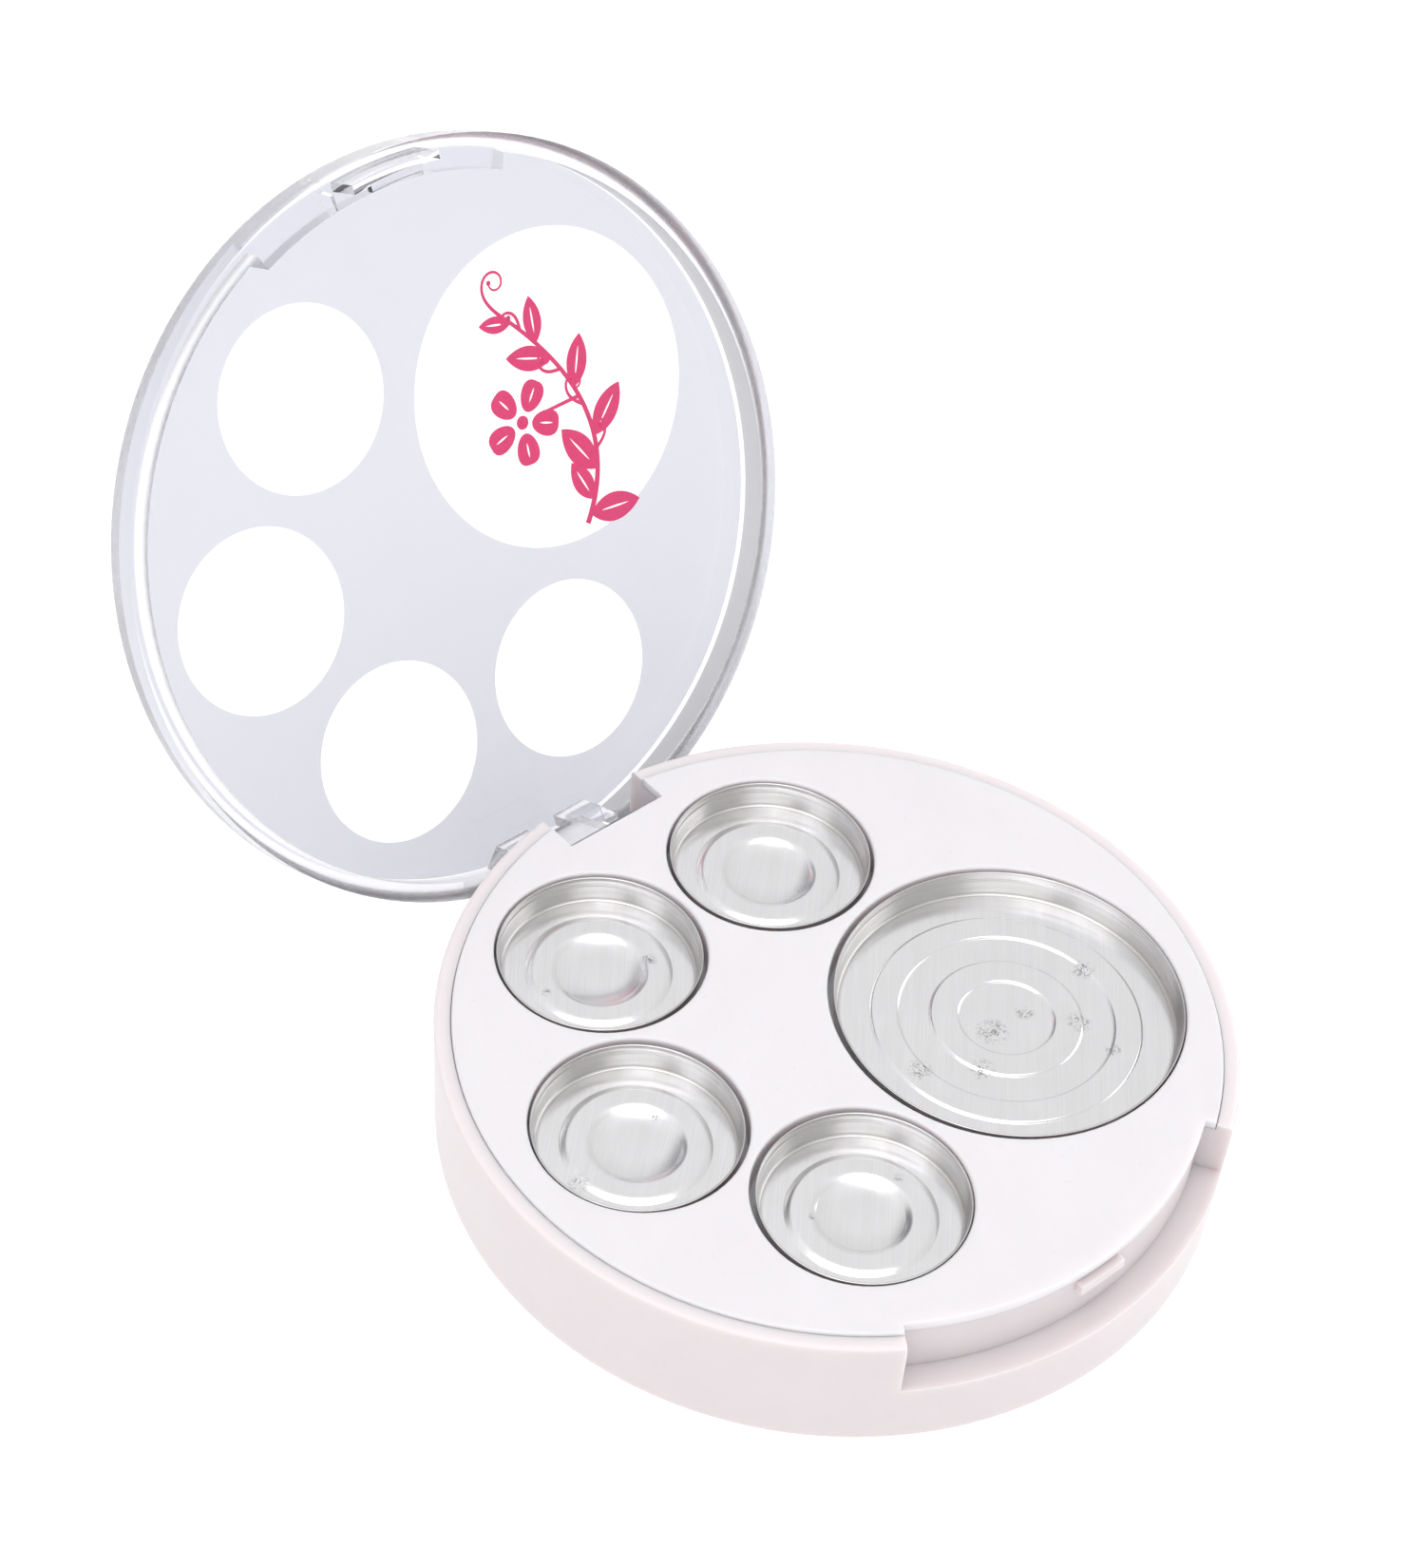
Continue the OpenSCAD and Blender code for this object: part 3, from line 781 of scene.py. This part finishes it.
def leaf_spline(foot, along, length, width):
    """A pointed oval from its foot to its tip, as two bezier corners."""
    across = Vector((-along.y, along.x)) * width
    tip = foot + along * length
    low, high = foot + along * length * 0.3, foot + along * length * 0.72
    return ((foot, low + across, low - across), (tip, high - across * 0.8, high + across * 0.8))


def tendril(start, heading, length, turns, steps=48):
    """Points of a line that starts along a heading and curls up more and more."""
    points = [Vector(start)]
    for i in range(steps):
        angle = heading + math.tau * turns * ((i + 0.5) / steps) ** 2
        points.append(points[-1] + Vector((math.cos(angle), math.sin(angle))) * length / steps)
    return points


def stroke(points, start_width, end_width):
    """A round line along points, which grows thinner or wider from its start to its end."""
    curve = bpy.data.curves.new("print", "CURVE")
    curve.dimensions = "3D"
    curve.bevel_depth = 1.0
    curve.bevel_resolution = 2
    curve.use_fill_caps = True
    spline = curve.splines.new("POLY")
    spline.points.add(len(points) - 1)
    for i, (point, at) in enumerate(zip(spline.points, points)):
        point.co = (*at, 0, 1)
        point.radius = start_width + (end_width - start_width) * i / (len(points) - 1)
    return curve


def add_curve(bm, curve, thickness):
    """Adds a curve to a bmesh as a flat film of ink of a given thickness, and removes the curve."""
    obj = bpy.data.objects.new(curve.name, curve)
    mesh = bpy.data.meshes.new_from_object(obj)
    film = bmesh.new()
    film.from_mesh(mesh)
    bpy.data.objects.remove(obj)
    bpy.data.curves.remove(curve)
    bmesh.ops.remove_doubles(film, verts=film.verts, dist=0.0005 * MM)
    height = max(v.co.z for v in film.verts) - min(v.co.z for v in film.verts)
    if height > 0:
        bmesh.ops.scale(film, vec=(1, 1, thickness / height), verts=film.verts)
        bmesh.ops.translate(film, vec=(0, 0, thickness / 2), verts=film.verts)
    else:
        bmesh.ops.dissolve_limit(
            film, angle_limit=FLAT_ANGLE, use_dissolve_boundaries=False, verts=film.verts,
            edges=film.edges, delimit=set())
        raised = bmesh.ops.extrude_face_region(film, geom=film.faces[:], use_keep_orig=True)["geom"]
        bmesh.ops.translate(
            film, vec=(0, 0, thickness), verts=[v for v in raised if isinstance(v, bmesh.types.BMVert)])
    bmesh.ops.recalc_face_normals(film, faces=film.faces)
    film.to_mesh(mesh)
    film.free()
    bm.from_mesh(mesh)
    bpy.data.meshes.remove(mesh)


class PALETTE_OT_sprig(bpy.types.Operator):
    """Print a flowering sprig on the outside of the large window"""

    bl_idname = "palette.sprig"
    bl_label = "Printed Sprig"

    # ends and handles of the stem on the closed lid, in millimetres
    stem = ((20.2, 9.2), (29.5, -2.0), (22.5, -14.0), (15.0, -22.5))
    # for each leaf: place along the stem, side, length and half width in millimetres, lean in degrees
    leaves = (
        (0.03, 1, 8.2, 2.9, 60), (0.08, -1, 6.4, 2.3, 50), (0.19, -1, 8.2, 2.9, 46),
        (0.32, 1, 8.0, 2.7, 44), (0.54, 1, 7.2, 2.4, 42), (0.70, -1, 7.2, 2.5, 40),
        (0.79, 1, 6.4, 2.1, 40), (0.93, -1, 5.0, 1.7, 36),
    )
    # for each tendril: place along the stem, side, length in millimetres, lean in degrees, turns
    tendrils = ((0.27, 1, 9.0, 52, -1.15), (0.46, -1, 10.5, 40, 1.25), (0.64, -1, 9.0, 62, 1.2),
                (0.88, 1, 7.5, 40, -1.1), (1.0, 1, 12.5, 6, 1.15))
    # middle of the blossom on the closed lid, and its radius, in millimetres
    blossom = ((14.4, -7.6), 5.8)
    petals = 5
    # turn of the first petal, as a share of the angle between two petals
    petal_turn = 0.3

    def execute(self, context):
        sizes, colours = context.scene.palette_sizes, context.scene.palette_colours
        bm = bmesh.new()
        corners = [Vector(c) * MM for c in self.stem]
        path = [q.to_2d() for q in geometry.interpolate_bezier(*(c.to_3d() for c in corners), 60)]
        add_curve(bm, stroke(path, 0.42 * MM, 0.26 * MM), sizes.ink)
        for share, side, length, width, lean in self.leaves:
            foot, heading = self.on_stem(path, share)
            self.print_leaf(
                bm, foot, heading + side * math.radians(lean), length * MM, width * MM, sizes.ink)
        for share, side, length, lean, turns in self.tendrils:
            foot, heading = self.on_stem(path, share)
            line = tendril(foot, heading + side * math.radians(lean), length * MM, turns)
            add_curve(bm, stroke(line, 0.26 * MM, 0.13 * MM), sizes.ink)
            add_curve(bm, outline([self.dot(line[-1], 0.34 * MM)]), sizes.ink)
        self.print_blossom(bm, path, sizes.ink)
        level = lid_top_height() - sizes.window_step - sizes.ink / 2
        bmesh.ops.translate(bm, vec=(0, 0, level), verts=bm.verts)
        bmesh.ops.transform(bm, matrix=about_hinge(OPEN_ANGLE), verts=bm.verts)
        ink = printed_ink("sprig_ink", tuple(colours.print_ink))
        piece("sprig", bm, [ink], "lid")
        return {"FINISHED"}

    def on_stem(self, path, share):
        """A point on the stem and the stem's heading there."""
        at = min(int(share * (len(path) - 1)), len(path) - 2)
        step = path[at + 1] - path[at]
        return path[at] + step * (share * (len(path) - 1) - at), math.atan2(step.y, step.x)

    def dot(self, at, radius):
        """A round spot of four bezier corners."""
        handle = radius * 0.552
        corners = []
        for quarter in range(4):
            out = Matrix.Rotation(math.pi / 2 * quarter, 2) @ Vector((1, 0))
            along = Vector((-out.y, out.x)) * handle
            corners.append((at + out * radius, at + out * radius - along, at + out * radius + along))
        return corners

    def print_leaf(self, bm, foot, heading, length, width, ink):
        """A leaf with its midrib left clear."""
        along = Vector((math.cos(heading), math.sin(heading)))
        blade = leaf_spline(foot, along, length, width)
        rib = leaf_spline(foot + along * length * 0.22, along, length * 0.56, 0.2 * MM)
        add_curve(bm, outline([blade, rib]), ink)

    def print_blossom(self, bm, path, ink):
        """Five petals with a clear slit each, round a dotted middle, on a short stalk."""
        middle, radius = Vector(self.blossom[0]) * MM, self.blossom[1] * MM
        foot, heading = self.on_stem(path, 0.5)
        stalk = [foot.lerp(middle, i / 12) for i in range(10)]
        add_curve(bm, stroke(stalk, 0.28 * MM, 0.22 * MM), ink)
        for number in range(self.petals):
            angle = math.tau * (number + self.petal_turn) / self.petals
            along = Vector((math.cos(angle), math.sin(angle)))
            across = Vector((-along.y, along.x))
            start, end = middle + along * radius * 0.26, middle + along * radius
            petal = ((start, start + across * radius * 0.3, start - across * radius * 0.3),
                     (end, end - across * radius * 0.5 + along * radius * 0.05,
                      end + across * radius * 0.5 + along * radius * 0.05))
            slit = leaf_spline(middle + along * radius * 0.48, along, radius * 0.36, 0.2 * MM)
            add_curve(bm, outline([petal, slit]), ink)
        add_curve(bm, outline([self.dot(middle, radius * 0.16)]), ink)


# ---------------------------------------------------------------- stage


class PALETTE_OT_stage(bpy.types.Operator):
    """Set up the floor, the soft studio light and the camera"""

    bl_idname = "palette.stage"
    bl_label = "Stage"

    # for each ramp of the dome: a direction, a span of closeness to it, and the strength at its ends
    dome = (
        # dimmer low down
        ((0, 0, 1), 0.0, 0.9, 0.72, 0.88),
        # dimmer towards the camera's right
        ((0.76, -0.65, 0), -0.2, 1.0, 1.0, 0.85),
        # a dark card behind the lid, which draws the dark arcs in the pans
        ((0.155, 0.836, 0.526), 0.93, 0.98, 1.0, 0.25),
    )
    # for each soft box: its place, the point it faces, its width and height in metres, and its power
    soft_boxes = (
        ("top_box", (-0.04, 0.0, 0.90), (0, 0, 0), 0.56, 0.56, 2.4),
        ("left_box", (-0.80, 0.10, 0.75), (0, 0, 0.02), 0.50, 0.70, 0.8),
        ("front_box", (-0.48, -0.62, 0.62), (0, 0, 0.02), 0.80, 0.60, 1.2),
        ("right_box", (0.85, -0.40, 0.35), (0, 0, 0.02), 0.80, 0.60, 2.2),
    )

    def execute(self, context):
        stage = context.scene.palette_stage
        self.make_floor(stage)
        self.make_world(context.scene)
        self.make_lights()
        self.make_camera(context.scene, stage)
        return {"FINISHED"}

    def make_floor(self, stage):
        bm = bmesh.new()
        bmesh.ops.create_grid(bm, x_segments=8, y_segments=8, size=stage.floor / 2)
        mesh = bpy.data.meshes.new("floor")
        bm.to_mesh(mesh)
        bm.free()
        f = Finish("floor_paper")
        fibre = f.noise(f.place, 900, 3.0)
        tone = f.blend(f.span(fibre, 0.3, 0.7), (0.40, 0.40, 0.40), (0.42, 0.42, 0.42))
        f.set(Base_Color=tone, Roughness=0.9, Specular_IOR_Level=0.1, Emission_Color=(1, 1, 1, 1),
              Emission_Strength=0.82)
        mesh.materials.append(f.material)
        floor = bpy.data.objects.new("floor", mesh)
        bpy.context.scene.collection.objects.link(floor)

    def make_world(self, scene):
        """A bright dome whose strength is the product of the dome's ramps."""
        world = bpy.data.worlds.new("studio")
        scene.world = world
        world.use_nodes = True
        nodes, links = world.node_tree.nodes, world.node_tree.links
        background = next(n for n in nodes if n.type == "BACKGROUND")
        direction = nodes.new("ShaderNodeTexCoord").outputs["Generated"]
        power = None
        for towards, low, high, at_low, at_high in self.dome:
            close = nodes.new("ShaderNodeVectorMath")
            close.operation = "DOT_PRODUCT"
            links.new(direction, close.inputs[0])
            close.inputs[1].default_value = Vector(towards).normalized()
            ramp = nodes.new("ShaderNodeMapRange")
            links.new(close.outputs["Value"], ramp.inputs["Value"])
            ends = (("From Min", low), ("From Max", high), ("To Min", at_low), ("To Max", at_high))
            for key, value in ends:
                ramp.inputs[key].default_value = value
            if power is None:
                power = ramp.outputs[0]
                continue
            product = nodes.new("ShaderNodeMath")
            product.operation = "MULTIPLY"
            links.new(power, product.inputs[0])
            links.new(ramp.outputs[0], product.inputs[1])
            power = product.outputs[0]
        links.new(power, background.inputs["Strength"])
        background.inputs["Color"].default_value = (1, 1, 1, 1)

    def make_lights(self):
        for name, at, towards, width, height, power in self.soft_boxes:
            lamp = bpy.data.lights.new(name, "AREA")
            lamp.shape = "RECTANGLE"
            lamp.size = width
            lamp.size_y = height
            lamp.energy = power
            obj = bpy.data.objects.new(name, lamp)
            obj.location = at
            obj.rotation_mode = "QUATERNION"
            obj.rotation_quaternion = (Vector(towards) - Vector(at)).to_track_quat("-Z", "Y")
            bpy.context.scene.collection.objects.link(obj)

    def make_camera(self, scene, stage):
        a, e = stage.azimuth, stage.elevation
        back = Vector((math.sin(a) * math.cos(e), -math.cos(a) * math.cos(e), math.sin(e)))
        camera = bpy.data.cameras.new("camera")
        camera.lens = stage.lens
        camera.sensor_width = 36
        camera.clip_start, camera.clip_end = 0.01, 20
        obj = bpy.data.objects.new("camera", camera)
        obj.location = Vector(stage.aim) + back * stage.distance
        obj.rotation_mode = "QUATERNION"
        roll = Quaternion((0, 0, 1), stage.roll)
        obj.rotation_quaternion = (-back).to_track_quat("-Z", "Y") @ roll
        scene.collection.objects.link(obj)
        scene.camera = obj
        scene.view_settings.view_transform = "Standard"


# ---------------------------------------------------------------- panel and start

STEPS = (
    PALETTE_OT_stage,
    PALETTE_OT_base_shell,
    PALETTE_OT_pan_plate,
    PALETTE_OT_pins,
    PALETTE_OT_pans,
    PALETTE_OT_pads,
    PALETTE_OT_lid,
    PALETTE_OT_sprig,
)


class PALETTE_PT_sidebar(bpy.types.Panel):
    """The palette's pieces and settings"""

    bl_idname = "PALETTE_PT_sidebar"
    bl_label = "Palette"
    bl_space_type = "VIEW_3D"
    bl_region_type = "UI"
    bl_category = "Palette"

    def draw(self, context):
        for step in STEPS:
            self.layout.operator(step.bl_idname)
        for group in GROUPS:
            settings = getattr(context.scene, GROUPS[group])
            box = self.layout.box()
            box.label(text=group.__doc__)
            for key in group.__annotations__:
                box.prop(settings, key)


GROUPS = {
    PaletteSizes: "palette_sizes",
    PaletteColours: "palette_colours",
    PaletteStage: "palette_stage",
}


def register():
    for cls in (*GROUPS, *STEPS, PALETTE_PT_sidebar):
        bpy.utils.register_class(cls)
    for group, name in GROUPS.items():
        setattr(bpy.types.Scene, name, bpy.props.PointerProperty(type=group))


def unregister():
    for name in GROUPS.values():
        delattr(bpy.types.Scene, name)
    for cls in reversed((*GROUPS, *STEPS, PALETTE_PT_sidebar)):
        bpy.utils.unregister_class(cls)


def main():
    register()
    for step in STEPS:
        group, action = step.bl_idname.split(".")
        getattr(getattr(bpy.ops, group), action)()


if __name__ == "__main__":
    main()
